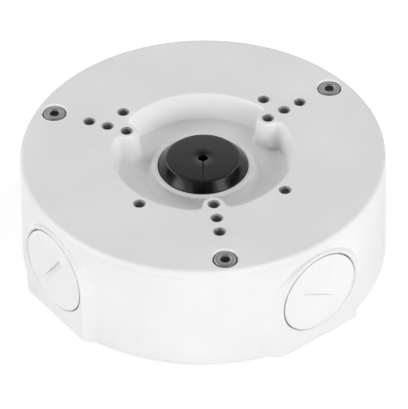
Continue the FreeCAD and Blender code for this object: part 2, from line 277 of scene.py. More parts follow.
def turned(name: str, corners: list[Corner], sides: int, capped: bool = False) -> bpy.types.Object:
    """Raises a turned piece from one ring of edges, corner by corner.

    Args:
        name: The piece's name.
        corners: The outline in order. A closed outline comes back to its first corner.
        sides: How many faces go round.
        capped: Whether the first and last rings are closed with a face each instead of being joined.

    Returns:
        The piece, standing on the Z axis.
    """
    clear_selection()
    first = corners[0]
    place = (0, 0, first.height * MM)
    bpy.ops.mesh.primitive_circle_add(vertices=sides, radius=first.radius * MM, location=place)
    piece = bpy.context.object
    piece.name = name
    settle(piece)
    with editing(piece):
        bpy.ops.mesh.select_all(action="SELECT")
        last = first
        for corner in corners[1:] + ([] if capped else [first]):
            rise = (0, 0, (corner.height - last.height) * MM)
            bpy.ops.mesh.extrude_region_move(TRANSFORM_OT_translate={"value": rise})
            share = corner.radius / last.radius
            draw_in(share, share, 1)
            last = corner
        bpy.ops.mesh.select_all(action="SELECT")
        bpy.ops.mesh.remove_doubles(threshold=WELD)
        if capped:
            bpy.ops.mesh.select_all(action="SELECT")
            bpy.ops.mesh.fill_holes(sides=0)
        bpy.ops.mesh.select_all(action="SELECT")
        bpy.ops.mesh.normals_make_consistent(inside=False)
        for corner in corners:
            if corner.ease:
                ease_ring(piece, corner)
    return piece


def ease_ring(piece: bpy.types.Object, corner: Corner) -> None:
    """Rounds the edge that runs round a turned piece at one of its corners, in edit mode.

    Args:
        piece: The turned piece.
        corner: The corner to round.
    """

    def on_ring(place: Vector) -> bool:
        """Whether a vertex lies on the corner's ring."""
        return near(reach(place), corner.radius) and near(place.z / MM, corner.height)

    pick(piece, Kind.EDGE, on_ring)
    bpy.ops.mesh.bevel(offset=corner.ease * MM, segments=EASE_STEPS, affect="EDGES", clamp_overlap=True)


def apply_modifier(piece: bpy.types.Object, kind: str, settings: dict[str, Any]) -> None:
    """Adds a modifier with its settings and applies it.

    Args:
        piece: The piece to change.
        kind: The modifier's type.
        settings: Its properties by name.
    """
    focus(piece)
    modifier = piece.modifiers.new(kind.lower(), kind)
    for name, value in settings.items():
        setattr(modifier, name, value)
    bpy.ops.object.modifier_apply(modifier=modifier.name)


def cut(piece: bpy.types.Object, cutter: bpy.types.Object) -> None:
    """Cuts one piece out of another and removes the cutter."""
    apply_modifier(piece, "BOOLEAN", {"operation": "DIFFERENCE", "solver": "EXACT", "object": cutter})
    bpy.data.objects.remove(cutter)


def join(pieces: list[bpy.types.Object]) -> bpy.types.Object:
    """Joins pieces into the first of them.

    Args:
        pieces: The pieces, of which the first keeps its name.

    Returns:
        The joined piece.
    """
    focus(pieces[0])
    for piece in pieces[1:]:
        piece.select_set(True)
    bpy.ops.object.join()
    return bpy.context.object


def copy_of(piece: bpy.types.Object, name: str) -> bpy.types.Object:
    """Copies a piece with its mesh.

    Args:
        piece: The piece to copy.
        name: The copy's name.

    Returns:
        The copy.
    """
    focus(piece)
    bpy.ops.object.duplicate(linked=False)
    bpy.context.object.name = name
    return bpy.context.object


@dataclass(frozen=True)
class Helix:
    """A screw thread's ridge round the Z axis: its radii, pitch and ends in millimetres."""

    crest: float
    root: float
    pitch: float
    low: float
    high: float
    steps: int = 48
    crest_flat: float = 0.14
    root_flat: float = 0.94
    run_out: float = 0.12

    @property
    def start(self) -> float:
        """Height at which the ridge's middle starts."""
        return self.low + self.root_flat * self.pitch / 2

    @property
    def turns(self) -> float:
        """How many turns the ridge takes between its ends."""
        return (self.high - self.low) / self.pitch - self.root_flat

    def outline(self, name: str) -> bpy.types.Object:
        """Draws the ridge's upright section: a plane whose outer edge is drawn in to the crest's width.

        Args:
            name: The piece's name.

        Returns:
            The section's edges, at the start of the ridge.
        """
        depth = self.crest - self.root
        clear_selection()
        bpy.ops.mesh.primitive_plane_add(size=1)
        piece = bpy.context.object
        piece.name = name
        piece.scale = (depth * MM, self.root_flat * self.pitch * MM, 1)
        piece.rotation_euler = (math.pi / 2, 0, 0)
        piece.location = ((self.root + depth / 2) * MM, 0, self.start * MM)
        settle(piece)
        with editing(piece):
            pick(piece, Kind.VERTEX, lambda place: near(reach(place), self.crest))
            draw_in(1, 1, self.crest_flat / self.root_flat, self.start * MM)
            bpy.ops.mesh.select_all(action="SELECT")
            bpy.ops.mesh.delete(type="ONLY_FACE")
        return piece

    def build(self, name: str) -> bpy.types.Object:
        """Winds the ridge up the axis.

        Args:
            name: The piece's name.

        Returns:
            The ridge, a closed coil whose foot is buried in what carries it.
        """
        piece = self.outline(name)
        whole = math.ceil(self.turns)
        settings = {
            "axis": "Z",
            "angle": math.tau * self.turns / whole,
            "screw_offset": self.pitch * MM * self.turns / whole,
            "iterations": whole,
            "steps": self.steps,
            "render_steps": self.steps,
            "use_merge_vertices": False,
        }
        apply_modifier(piece, "SCREW", settings)
        with editing(piece):
            self.sink_ends(piece, self.turns / whole / self.steps)
            bpy.ops.mesh.select_all(action="SELECT")
            bpy.ops.mesh.remove_doubles(threshold=FINE_WELD)
            bpy.ops.mesh.select_all(action="SELECT")
            bpy.ops.mesh.fill_holes(sides=0)
            bpy.ops.mesh.normals_make_consistent(inside=False)
        return piece

    def sink_ends(self, piece: bpy.types.Object, step: float) -> None:
        """Lets the crest sink into the root over a part of a turn at each end, in edit mode.

        Args:
            piece: The wound ridge.
            step: How much of a turn lies between two of its sections.
        """
        sections = int(self.run_out / step)
        for section in range(sections):
            kept = section / sections
            share = (self.root + (self.crest - self.root) * kept) / self.crest
            for turn in (section * step, self.turns - section * step):
                pick(piece, Kind.VERTEX, lambda place, turn=turn: self.on_crest(place, turn, step))
                draw_in(share, share, 1)

    def on_crest(self, place: Vector, turn: float, step: float) -> bool:
        """Whether a vertex is one of the crest's two at a turn.

        Args:
            place: Where the vertex is, in metres.
            turn: How many turns the section is from the start.
            step: How much of a turn lies between two sections.

        Returns:
            True for the crest's vertices of that section.
        """
        if not near(reach(place), self.crest):
            return False
        off = (math.atan2(place.y, place.x) / math.tau - turn) % 1.0
        rise = place.z / MM - self.start - turn * self.pitch
        return min(off, 1 - off) < step / 2 and abs(rise) < self.crest_flat * self.pitch


@dataclass(frozen=True)
class Grain:
    """A noise on a surface: its wavelength and its depth in millimetres, and its finer octaves."""

    length: float
    octaves: float
    depth: float = 0.0

    @property
    def settings(self) -> dict[str, float]:
        """Settings of the noise on coordinates in metres."""
        return {"Scale": 1 / (self.length * MM), "Detail": self.octaves}


@dataclass(frozen=True)
class Finish:
    """A surface whose grains raise it, one on the other, and whose spots change its tone and its gloss."""

    name: str
    low_tone: str
    high_tone: str
    roughness: float
    ior: float = 1.5
    metallic: float = 0.0
    grains: tuple[Grain, ...] = ()
    spots: Grain = Grain(1.0, 1.0)
    # Strengths of the spots between which tone and roughness change, and what the roughness gains at both
    span: tuple[float, float] = (NOISE_LOW, NOISE_HIGH)
    dulling: tuple[float, float] = (0.0, 0.0)
    # Below one it stretches every pattern into level streaks
    squeeze: float = 1.0

    def material(self) -> bpy.types.Material:
        """Makes the material with this finish, once.

        Returns:
            The material, the same one on each call.
        """
        found = bpy.data.materials.get(self.name)
        if found is not None:
            return found
        made = bare_material(self.name)
        tree = made.node_tree
        scale = {"Scale": (self.squeeze, self.squeeze, 1.0)}
        place = add_node(tree, "ShaderNodeTexCoord").outputs["Object"]
        place = add_node(tree, "ShaderNodeMapping", scale, {"Vector": place}).outputs["Vector"]
        settings = {"IOR": self.ior, "Metallic": self.metallic}
        looks = self.tone(tree, place) | self.relief(tree, place)
        shader = add_node(tree, "ShaderNodeBsdfPrincipled", settings, looks)
        add_node(tree, "ShaderNodeOutputMaterial", links={"Surface": shader.outputs["BSDF"]})
        return made

    def tone(self, tree: bpy.types.NodeTree, place: bpy.types.NodeSocket) -> Links:
        """Lets the spots carry the colour and the roughness from one value to another.

        Args:
            tree: The material's tree.
            place: Object coordinates, in metres.

        Returns:
            Colour and roughness.
        """
        spots = add_node(tree, "ShaderNodeTexNoise", self.spots.settings, {"Vector": place}).outputs["Fac"]
        spread = {"From Min": self.span[0], "From Max": self.span[1]}
        share = add_node(tree, "ShaderNodeMapRange", spread, {"Value": spots})
        tones = {"data_type": "RGBA", MIX_FIRST: linear(self.low_tone), MIX_SECOND: linear(self.high_tone)}
        tone = add_node(tree, "ShaderNodeMix", tones, {MIX_SHARE: share.outputs["Result"]})
        low, high = (self.roughness + gain for gain in self.dulling)
        spread |= {"To Min": low, "To Max": high}
        rough = add_node(tree, "ShaderNodeMapRange", spread, {"Value": spots})
        return {"Base Color": tone.outputs[MIX_RESULT], "Roughness": rough.outputs["Result"]}

    def relief(self, tree: bpy.types.NodeTree, place: bpy.types.NodeSocket) -> Links:
        """Raises the grains, each on the one before it.

        Args:
            tree: The material's tree.
            place: Object coordinates, in metres.

        Returns:
            The normal, if there are grains.
        """
        normal: Links = {}
        for grain in self.grains:
            height = add_node(tree, "ShaderNodeTexNoise", grain.settings, {"Vector": place}).outputs["Fac"]
            depth = {"Distance": grain.depth * MM}
            bump = add_node(tree, "ShaderNodeBump", depth, {"Height": height} | normal)
            normal = {"Normal": bump.outputs["Normal"]}
        return normal


@dataclass(frozen=True)
class PowderCoat(Finish):
    """Polyester powder baked on a die casting."""

    # The eye sees an even off-white satin skin. Low light catches the slow waves of orange peel, a fine grit
    # between them, and patches where the coat is a little thinner, greyer and glossier.
    grains: tuple[Grain, ...] = (Grain(1.9, 1.0, 0.006), Grain(0.45, 2.0, 0.003))
    spots: Grain = Grain(30.0, 3.0)
    dulling: tuple[float, float] = (-0.04, 0.04)


@dataclass(frozen=True)
class SmoothPowderCoat(PowderCoat):
    """The same powder on a turned plug, where it flows out further."""

    # The eye sees a slightly whiter and glossier skin, with longer waves.
    grains: tuple[Grain, ...] = (Grain(2.4, 1.0, 0.006), Grain(0.45, 2.0, 0.003))


@dataclass(frozen=True)
class MouldedRubber(Finish):
    """Black EPDM pressed in a steel mould."""

    # The eye sees near black with a soft sheen. A faint grey bloom lies on it in spots that take the gloss
    # off, and the mould's eroded grain breaks up what it mirrors.
    grains: tuple[Grain, ...] = (Grain(0.28, 2.0, 0.004),)
    spots: Grain = Grain(4.0, 3.0)
    dulling: tuple[float, float] = (-0.02, 0.05)


@dataclass(frozen=True)
class CutSilicone(Finish):
    """Grey silicone sheet, cut to shape and dusted with talc."""

    # The eye sees a dull mid grey with a few pale, duller specks where talc clings.
    ior: float = 1.43
    spots: Grain = Grain(0.5, 4.0)
    span: tuple[float, float] = (0.52, 0.75)
    dulling: tuple[float, float] = (0.0, 0.3)


@dataclass(frozen=True)
class ForgedStainless(Finish):
    """Cold-headed A2 stainless steel, tumbled after heading."""

    # The eye sees mid grey metal, darker than a polished screw, and tiny dents that blur what it mirrors.
    metallic: float = 1.0
    grains: tuple[Grain, ...] = (Grain(0.5, 3.0, 0.008),)
    spots: Grain = Grain(0.5, 3.0)
    dulling: tuple[float, float] = (0.08, 0.0)


@dataclass(frozen=True)
class TappedAluminium(Finish):
    """Bare die-casting alloy where the drill and the tap have cut through the coat."""

    # The eye sees grey flanks with the tool's fine marks running level round the hole. The marks are finer
    # on a real hole and are drawn a tenth of a millimetre apart so that they show.
    metallic: float = 1.0
    grains: tuple[Grain, ...] = (Grain(0.1, 2.0, 0.004),)
    spots: Grain = Grain(0.1, 2.0)
    dulling: tuple[float, float] = (0.0, 0.15)
    squeeze: float = 0.15


@dataclass(frozen=True)
class Finishes:
    """Every finish on the box, with its tones and its roughness."""

    casting: Finish = PowderCoat("powder_coated_die_casting", "#E6E6E6", "#EEEEEE", 0.42)
    plug: Finish = SmoothPowderCoat("powder_coated_plug", "#E9E9E9", "#F0F0F0", 0.38)
    rubber: Finish = MouldedRubber("moulded_epdm_rubber", "#0A0A0A", "#131313", 0.2)
    silicone: Finish = CutSilicone("cut_silicone_sheet", "#868686", "#A4A4A4", 0.6)
    steel: Finish = ForgedStainless("cold_headed_stainless_steel", "#8C8C8C", "#B0B0B0", 0.3)
    thread: Finish = TappedAluminium("tapped_aluminium", "#A0A0A0", "#B8B8B8", 0.55)


def dress(piece: bpy.types.Object, finish: Finish) -> None:
    """Gives a piece or a CAD node its finish alone.

    Args:
        piece: What is dressed.
        finish: Its surface.
    """
    piece.data.materials.clear()
    piece.data.materials.append(finish.material())
    for face in piece.data.polygons:
        face.material_index = 0


def hand_over(
    piece: bpy.types.Object, finish: Finish, body: str, stands_for: str | None = None
) -> None:
    """Shades, dresses and mounts a finished piece.

    Args:
        piece: The piece, in place.
        finish: Its surface.
        body: The CAD body that it rides on.
        stands_for: The CAD node that it replaces, if it does.
    """
    settle(piece)
    bpy.ops.object.shade_smooth_by_angle(angle=math.radians(SMOOTH_ANGLE))
    dress(piece, finish)
    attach(piece, body)
    if stands_for is not None:
        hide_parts(stands_for)
    LOG.info("%s rides on %s with %d faces", piece.name, body, len(piece.data.polygons))


@dataclass
class Castings:
    """The base and the cover: CAD nodes that keep their shape and take the coat."""

    nodes: tuple[str, ...] = ("base_housing", "cover")

    def build(self, frame: dict[str, Any], finishes: Finishes) -> None:
        """Coats both castings.

        Args:
            finishes: The finishes to use.
        """
        for name in self.nodes:
            dress(frame["nodes"][name], finishes.casting)
            LOG.info("%s is coated", name)


@dataclass
class HiddenSeals:
    """The cover's gasket and the rings that keep its screws: CAD nodes that no view shows."""

    rings: int = 3

    def build(self, frame: dict[str, Any], finishes: Finishes) -> None:
        """Dresses the gasket and the rings.

        Args:
            finishes: The finishes to use.
        """
        dress(frame["nodes"]["cover_seal"], finishes.silicone)
        for number in range(1, self.rings + 1):
            dress(frame["nodes"][f"screw_ring_{number}"], finishes.rubber)
        LOG.info("cover_seal and %d screw rings are dressed", self.rings)


@dataclass
class CoverScrews:
    """M4 socket cap screws in the cover's counterbores. Sizes are in millimetres."""

    directions: tuple[float, ...] = (-30.0, 90.0, 210.0)
    socket_turns: tuple[float, ...] = (53.0, 17.0, 41.0)
    circle: float = 54.5
    head_radius: float = 3.65
    head_top: float = 38.6
    head_seat: float = 34.5
    top_ease: float = 0.42
    seat_ease: float = 0.12
    # The knurl runs between two rings of the head's side and is cut into every other column of it
    knurl_foot: float = 0.5
    knurl_top: float = 0.75
    knurl_share: float = 0.965
    knurl_slack: float = 0.05
    core_radius: float = 1.6
    thread_radius: float = 1.96
    thread_bite: float = 0.05
    thread_steps: int = 24
    bare_tip: float = 0.2
    bare_neck: float = 0.3
    tip: float = 22.5
    tip_chamfer: float = 0.4
    pitch: float = 0.7
    socket_across: float = 3.0
    socket_depth: float = 2.2
    socket_start: float = 30.0
    dish_radius: float = 2.16
    dish_foot: float = 1.98
    dish_depth: float = 0.16
    dish_ease: float = 0.1
    point_inset: float = 0.25
    point_depth: float = 0.6
    point_share: float = 0.1
    sides: int = 96

    def head(self) -> bpy.types.Object:
        """Turns the head and the shank on the Z axis, with the dished mouth of a socket still to be cut.

        Returns:
            The screw's blank.
        """
        return turned(
            "cap_screw",
            [
                Corner(self.core_radius - self.tip_chamfer, self.tip),
                Corner(self.core_radius, self.tip + self.tip_chamfer),
                Corner(self.core_radius, self.head_seat),
                Corner(self.head_radius, self.head_seat, self.seat_ease),
                Corner(self.head_radius, self.head_seat + self.knurl_foot),
                Corner(self.head_radius, self.head_top - self.knurl_top),
                Corner(self.head_radius, self.head_top, self.top_ease),
                Corner(self.dish_radius, self.head_top, self.dish_ease),
                Corner(self.dish_foot, self.head_top - self.dish_depth),
            ],
            self.sides,
            capped=True,
        )

    def knurl(self, screw: bpy.types.Object) -> None:
        """Presses the straight knurl into the side of the head.

        Args:
            screw: The screw's blank.
        """
        low = self.head_seat + self.knurl_foot - self.knurl_slack
        high = self.head_top - self.knurl_top + self.knurl_slack
        side = self.head_radius - self.knurl_slack

        def in_groove(place: Vector) -> bool:
            """Whether a vertex of the side lies in one of the knurl's grooves."""
            step = round(math.atan2(place.y, place.x) / math.tau * self.sides)
            return step % 2 == 0 and low < place.z / MM < high and reach(place) > side

        with editing(screw):
            pick(screw, Kind.VERTEX, in_groove)
            draw_in(self.knurl_share, self.knurl_share, 1)

    def sink_socket(self, screw: bpy.types.Object) -> None:
        """Cuts the hexagon socket and its drill point.

        Args:
            screw: The knurled screw.
        """
        floor = self.head_top - self.socket_depth
        corner = self.socket_across / math.sqrt(3)
        clear_selection()
        bpy.ops.mesh.primitive_cylinder_add(
            vertices=6,
            radius=corner * MM,
            depth=2 * self.socket_depth * MM,
            location=(0, 0, self.head_top * MM),
            rotation=(0, 0, math.radians(self.socket_start)),
        )
        hexagon = bpy.context.object
        settle(hexagon)
        with editing(hexagon):
            pick(hexagon, Kind.FACE, lambda place: near(place.z / MM, floor))
            bpy.ops.mesh.inset(thickness=self.point_inset * MM)
            drop = (0, 0, -self.point_depth * MM)
            bpy.ops.mesh.extrude_region_move(TRANSFORM_OT_translate={"value": drop})
            draw_in(self.point_share, self.point_share, 1)
        cut(screw, hexagon)

    def build(self, finishes: Finishes) -> None:
        """Makes one screw and copies it to the three counterbores.

        Args:
            finishes: The finishes to use.
        """
        head = self.head()
        self.knurl(head)
        self.sink_socket(head)
        root = self.core_radius - self.thread_bite
        low, high = self.tip + self.bare_tip, self.head_seat - self.bare_neck
        thread = Helix(self.thread_radius, root, self.pitch, low, high, self.thread_steps)
        screw = join([head, thread.build("screw_thread")])
        for number, direction in enumerate(self.directions, 1):
            copied = copy_of(screw, f"cap_screw_{number}")
            copied.rotation_euler = (0, 0, math.radians(self.socket_turns[number - 1]))
            copied.location = ring_point(self.circle, direction, 0)
            hand_over(copied, finishes.steel, "housing", f"cover_screw_{number}")
        bpy.data.objects.remove(screw)


@dataclass
class CameraHoles:
    """Tapped threads in the cover's thirteen camera holes. Sizes are in millimetres."""

    line_directions: tuple[float, ...] = (-30.0, 90.0, 210.0)
    line_circles: tuple[float, ...] = (27.75, 34.75, 41.5)
    square_circle: float = 34.0
    square_directions: tuple[float, ...] = (15.0, 105.0, 195.0, 285.0)
    wall_radius: float = 1.6
    crest_radius: float = 1.5
    outer_radius: float = 1.645
    hub_radius: float = 0.02
    thread_bite: float = 0.02
    bare_floor: float = 0.2
    bare_mouth: float = 0.15
    pitch: float = 0.7
    mouth: float = 38.48
    floor: float = 32.02
    point: float = 31.05
    flare_radius: float = 2.09
    flare_top: float = 38.96
    sides: int = 28

    def places(self) -> list[Vector]:
        """Works out where the holes are, on the wall plane.

        Returns:
            The holes' places, line by line and then round the square.
        """
        lines, square = self.line_directions, self.square_directions
        found = [ring_point(circle, line, 0) for line in lines for circle in self.line_circles]
        return found + [ring_point(self.square_circle, direction, 0) for direction in square]

    def liner(self) -> bpy.types.Object:
        """Makes the cut wall of one hole, from the flared mouth down to the drill point, and its thread.

        Returns:
            The wall and the thread as one piece on the Z axis.
        """
        skin = self.outer_radius - self.wall_radius
        wall = turned(
            "thread_wall",
            [
                Corner(self.hub_radius, self.point - skin),
                Corner(self.outer_radius, self.floor - skin),
                Corner(self.outer_radius, self.mouth),
                Corner(self.flare_radius, self.flare_top),
                Corner(self.flare_radius - skin, self.flare_top),
                Corner(self.wall_radius, self.mouth - skin / 2),
                Corner(self.wall_radius, self.floor),
                Corner(self.hub_radius, self.point),
            ],
            self.sides,
            capped=True,
        )
        root = self.wall_radius + self.thread_bite
        low, high = self.floor + self.bare_floor, self.mouth - self.bare_mouth
        ridge = Helix(self.crest_radius, root, self.pitch, low, high, self.sides)
        return join([wall, ridge.build("thread_ridge")])

    def build(self, finishes: Finishes) -> None:
        """Makes one thread and copies it to every hole.

        Args:
            finishes: The finishes to use.
        """
        liner = self.liner()
        for number, place in enumerate(self.places(), 1):
            copied = copy_of(liner, f"camera_thread_{number:02d}")
            copied.location = place
            hand_over(copied, finishes.thread, "housing")
        bpy.data.objects.remove(liner)


@dataclass
class LeadGrommet:
    """The rubber grommet in the cover's collar, with its pinhole and slit. Sizes are in millimetres."""

    top: float = 36.0
    shoulder: float = 32.6
    recess_floor: float = 29.3
    pan: float = 26.8
    tail: float = 24.6
    crown_radius: float = 12.35
    crown_ease: float = 0.22
    body_radius: float = 15.12
    shoulder_ease: float = 0.35
    foot_ease: float = 0.2
    neck_radius: float = 12.92
    bead_radius: float = 14.22
    bead_ease: float = 0.35
    tail_ease: float = 0.3
    bore_radius: float = 11.22
    web: float = 1.8
    web_ease: float = 0.8
    pinhole: float = 1.65
    pinhole_ease: float = 0.12
    dimple: float = 0.3
    dimple_width: float = 1.4
    dimple_rim: float = 0.04
    lip: float = 0.6
    lip_ease: float = 0.4
    dome: float = 0.3
    dome_rings: tuple[float, ...] = (0.4, 0.7, 0.9)
    slit_turn: float = -37.0
    slit_end: float = 11.6
    slit_mouth: float = 0.42
    slit_closing: float = 0.2
    sides: int = 128

    def shell(self) -> bpy.types.Object:
        """Turns the hollow grommet, whose faintly domed crown has a dimple and a thin lip at the pinhole.

        Returns:
            The grommet without its slit.
        """
        under = self.top - self.web
        sunk = self.top - self.dimple
        radius, dome = self.crown_radius, self.dome
        rings = [Corner(share * radius, self.top - dome * share**2) for share in self.dome_rings]
        return turned(
            "lead_grommet",
            [
                Corner(self.pinhole, sunk, self.pinhole_ease),
                Corner(self.pinhole + self.dimple_width, self.top - self.dimple_rim),
                *rings,
                Corner(self.crown_radius, self.top - self.dome, self.crown_ease),
                Corner(self.body_radius, self.shoulder, self.shoulder_ease),
                Corner(self.body_radius, self.recess_floor, self.foot_ease),
                Corner(self.neck_radius, self.recess_floor),
                Corner(self.neck_radius, self.pan),
                Corner(self.bead_radius, self.pan, self.bead_ease),
                Corner(self.neck_radius, self.tail, self.tail_ease),
                Corner(self.bore_radius, self.tail, self.tail_ease),
                Corner(self.bore_radius, under - self.web, self.web_ease),
                Corner(self.bore_radius - self.web, under, self.web_ease),
                Corner(self.pinhole + 2 * self.lip, under, self.lip_ease),
                Corner(self.pinhole, sunk - self.lip, self.pinhole_ease),
            ],
            self.sides,
        )

    def slit(self) -> bpy.types.Object:
        """Makes the wedge that opens the web from the pinhole outwards and nearly closes at its end.

        Returns:
            The wedge, turned to the slit's direction.
        """
        clear_selection()
        start = self.pinhole / 2
        length = self.slit_end - start
        middle = start + length / 2
        bpy.ops.mesh.primitive_cube_add(size=1)
        wedge = bpy.context.object
        wedge.scale = (length * MM, self.slit_mouth * MM, 2 * self.web * MM)
        wedge.location = (middle * MM, 0, (self.top - self.web / 2) * MM)
        settle(wedge)
        with editing(wedge):
            pick(wedge, Kind.VERTEX, lambda place: place.x > middle * MM)
            draw_in(1, self.slit_closing, 1)
        wedge.rotation_euler = (0, 0, math.radians(self.slit_turn))
        settle(wedge)
        return wedge

    def build(self, finishes: Finishes) -> None:
        """Makes the grommet in the collar.

        Args:
            finishes: The finishes to use.
        """
        grommet = self.shell()
        cut(grommet, self.slit())
        hand_over(grommet, finishes.rubber, "housing", "cable_grommet")


@dataclass
class SidePlugs:
    """The side entries' screwed plugs and rubber rings. Sizes are in millimetres from the box's axis."""

    axis_height: float = 19.5
    face: float = 62.18
    face_ease: float = 0.2
    face_border: float = 2.0
    under_head: float = 59.3
    under_ease: float = 0.15
    seat: float = 57.9
    thread_top: float = 57.7
    thread_end: float = 49.7
    head_radius: float = 14.42
    neck_radius: float = 12.3
    neck_ease: float = 0.1
    crest_radius: float = 13.2
    root_radius: float = 12.04
    end_ease: float = 0.5
    core_radius: float = 10.6
    core_ease: float = 0.3
    web: float = 4.2
    web_ease: float = 0.9
    web_border: float = 3.0
    pitch: float = 1.814
    thread_bite: float = 0.05
    thread_steps: int = 96
    thread_run_out: float = 0.2
    bare_end: float = 0.35
    bare_neck: float = 0.05
    slot_half: float = 8.5
    slot_width: float = 2.2
    slot_depth: float = 1.25
    cutter_sides: int = 192
    rim_ease: float = 0.28
    rim_steps: int = 3
    # The cutter's flat sides leave the ends of the slot's rim this far out of place at most
    rim_slack: float = 0.05
    ring_inner: float = 12.4
    ring_outer: float = 14.2
    ring_ease: float = 0.4
    sides: int = 128
    slot_turns: dict[Entry, float] = field(
        default_factory=lambda: {Entry.RIGHT: -29.0, Entry.FRONT: 54.0, Entry.LEFT: 12.0}
    )

    def blank(self) -> bpy.types.Object:
        """Turns the head, the neck and the hollow shank on the Z axis, with the face up.

        Returns:
            The plug without its thread and its slot.
        """
        inside = self.face - self.web
        return turned(
            "side_plug",
            [
                Corner(self.head_radius - self.face_border, self.face),
                Corner(self.head_radius, self.face, self.face_ease),
                Corner(self.head_radius, self.under_head, self.under_ease),
                Corner(self.neck_radius, self.under_head),
                Corner(self.neck_radius, self.thread_top, self.neck_ease),
                Corner(self.root_radius, self.thread_top),
                Corner(self.root_radius, self.thread_end, self.end_ease),
                Corner(self.core_radius, self.thread_end, self.core_ease),
                Corner(self.core_radius, inside, self.web_ease),
                Corner(self.core_radius - self.web_border, inside),
            ],
            self.sides,
            capped=True,
        )

    def mill_slot(self, plug: bpy.types.Object) -> None:
        """Sweeps the coin slot out of the face with a round cutter, and eases its rim.

        Args:
            plug: The plug's blank.
        """
        radius = (self.slot_half**2 + self.slot_depth**2) / (2 * self.slot_depth)
        clear_selection()
        bpy.ops.mesh.primitive_cylinder_add(
            vertices=self.cutter_sides,
            radius=radius * MM,
            depth=self.slot_width * MM,
            location=(0, 0, (self.face - self.slot_depth + radius) * MM),
            rotation=(0, math.pi / 2, 0),
        )
        cutter = bpy.context.object
        settle(cutter)
        cut(plug, cutter)
        side = self.slot_width / 2 + SLACK
        end = self.slot_half + self.rim_slack

        def on_rim(place: Vector) -> bool:
            """Whether a vertex lies on the slot's rim."""
            return near(place.z / MM, self.face) and abs(place.x) / MM < side and abs(place.y) / MM < end

        with editing(plug):
            pick(plug, Kind.EDGE, on_rim)
            offset = self.rim_ease * MM
            bpy.ops.mesh.bevel(offset=offset, segments=self.rim_steps, affect="EDGES", clamp_overlap=True)

    def washer(self) -> bpy.types.Object:
        """Makes the rubber ring under the head, with the round corners of a moulded ring.

        Returns:
            The ring on the Z axis.
        """
        corners = [
            Corner(self.ring_inner, self.seat, self.ring_ease),
            Corner(self.ring_outer, self.seat, self.ring_ease),
            Corner(self.ring_outer, self.under_head, self.ring_ease),
            Corner(self.ring_inner, self.under_head, self.ring_ease),
        ]
        return turned("plug_ring", corners, self.sides)

    def lay_in(self, piece: bpy.types.Object, entry: Entry, turn: float) -> None:
        """Lays an upright piece on the axis of an entry.

        Args:
            piece: The piece, standing on the Z axis.
            entry: The entry that takes it.
            turn: How far it is turned about its own axis, in degrees.
        """
        raised = Matrix.Translation((0, 0, self.axis_height * MM))
        facing = Matrix.Rotation(math.radians(entry.value), 4, "Z") @ raised
        laid = Matrix.Rotation(math.radians(turn), 4, "X") @ Matrix.Rotation(math.pi / 2, 4, "Y")
        piece.matrix_world = facing @ laid

    def build(self, finishes: Finishes) -> None:
        """Makes one plug and one ring, and copies them to the three entries.

        Args:
            finishes: The finishes to use.
        """
        blank = self.blank()
        self.mill_slot(blank)
        root = self.root_radius - self.thread_bite
        low, high = self.thread_end + self.bare_end, self.thread_top - self.bare_neck
        steps, run_out = self.thread_steps, self.thread_run_out
        thread = Helix(self.crest_radius, root, self.pitch, low, high, steps, run_out=run_out)
        plug = join([blank, thread.build("plug_thread")])
        ring = self.washer()
        for entry in Entry:
            word = entry.word
            screwed = copy_of(plug, f"conduit_plug_{word}")
            self.lay_in(screwed, entry, self.slot_turns[entry])
            hand_over(screwed, finishes.plug, f"plug_{word}", f"side_plug_{word}")
            pressed = copy_of(ring, f"plug_ring_{word}")
            self.lay_in(pressed, entry, 0.0)
            hand_over(pressed, finishes.rubber, f"seal_{word}", f"plug_seal_{word}")
        bpy.data.objects.remove(plug)
        bpy.data.objects.remove(ring)


@dataclass(frozen=True)
class SoftBox:
    """A square studio lamp that faces the box. Its distance and size are in metres, its power in watts."""

    name: str
    direction: float
    elevation: float
    distance: float
    size: float
    power: float
    mirrored: bool = True

    def hang(self) -> None:
        """Adds the lamp. A low one is kept out of mirrors, where it would blot out the cover from behind."""
        place = outlook(self.direction, self.elevation, self.distance)
        clear_selection()
        turn = place.to_track_quat("Z", "Y").to_euler()
        bpy.ops.object.light_add(type="AREA", location=place, rotation=turn)
        lamp = bpy.context.object
        lamp.name = self.name
        lamp.data.shape = "SQUARE"
        lamp.data.size = self.size
        lamp.data.energy = self.power
        lamp.visible_camera = False
        lamp.visible_glossy = self.mirrored


@dataclass(frozen=True)
class MirrorCard:
    """A card that only mirrors see, black unless it glows. Its distance and size are in metres."""

    name: str
    direction: float
    elevation: float
    distance: float
    width: float
    height: float
    glow: float = 0.0
    cloth: str = "black_felt"

    def hang(self) -> None:
        """Adds the card, which faces the box and neither lights nor shades anything."""
        place = outlook(self.direction, self.elevation, self.distance)
        clear_selection()
        turn = place.to_track_quat("Z", "Y").to_euler()
        bpy.ops.mesh.primitive_plane_add(size=1, location=place, rotation=turn)
        card = bpy.context.object
        card.name = self.name
        card.scale = (self.width, self.height, 1)
        made = bare_material(self.cloth)
        face = add_node(made.node_tree, "ShaderNodeEmission", {"Strength": self.glow})
        add_node(made.node_tree, "ShaderNodeOutputMaterial", links={"Surface": face.outputs["Emission"]})
        card.data.materials.append(made)
        card.visible_camera = False
        card.visible_diffuse = False
        card.visible_shadow = False


